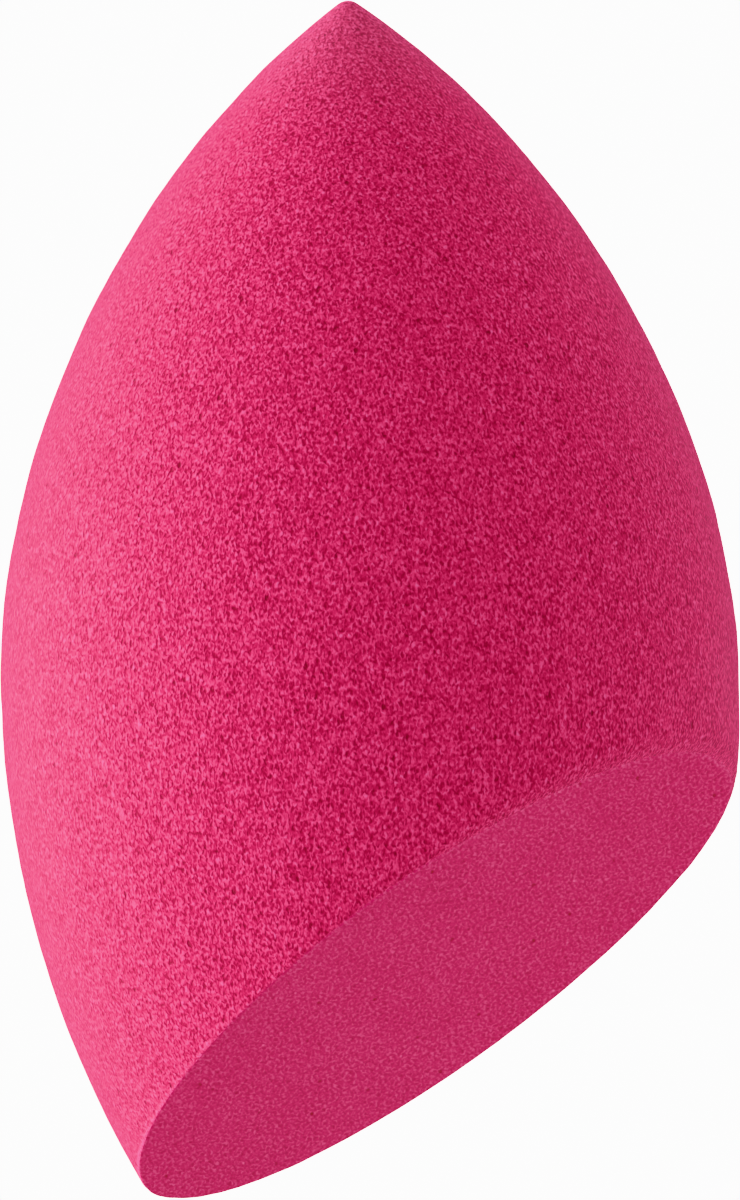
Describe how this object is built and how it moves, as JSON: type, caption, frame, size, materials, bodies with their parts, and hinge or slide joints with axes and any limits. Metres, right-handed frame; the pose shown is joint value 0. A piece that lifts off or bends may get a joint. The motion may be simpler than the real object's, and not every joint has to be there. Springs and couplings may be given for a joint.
{
  "type": "makeup sponge",
  "caption": "Pointed teardrop sponge of soft pink foam with a slanted flat cut face, for pressing and blending makeup.",
  "frame": {"origin": "the point on the flat cut face where the long axis of the sponge meets it", "axes": "+Z out of the cut face into the foam, so the sponge stands on the face; +X the way the tip leans; the sponge is its own mirror image across Y = 0"},
  "size_m": [0.0546, 0.04, 0.0429],
  "materials": {
    "foam": "fine open-cell polyurethane foam, dyed hot pink through, matt, with a smoother cut face"
  },
  "bodies": {
    "root": {"foam_body": "foam"}
  },
  "joints": []
}
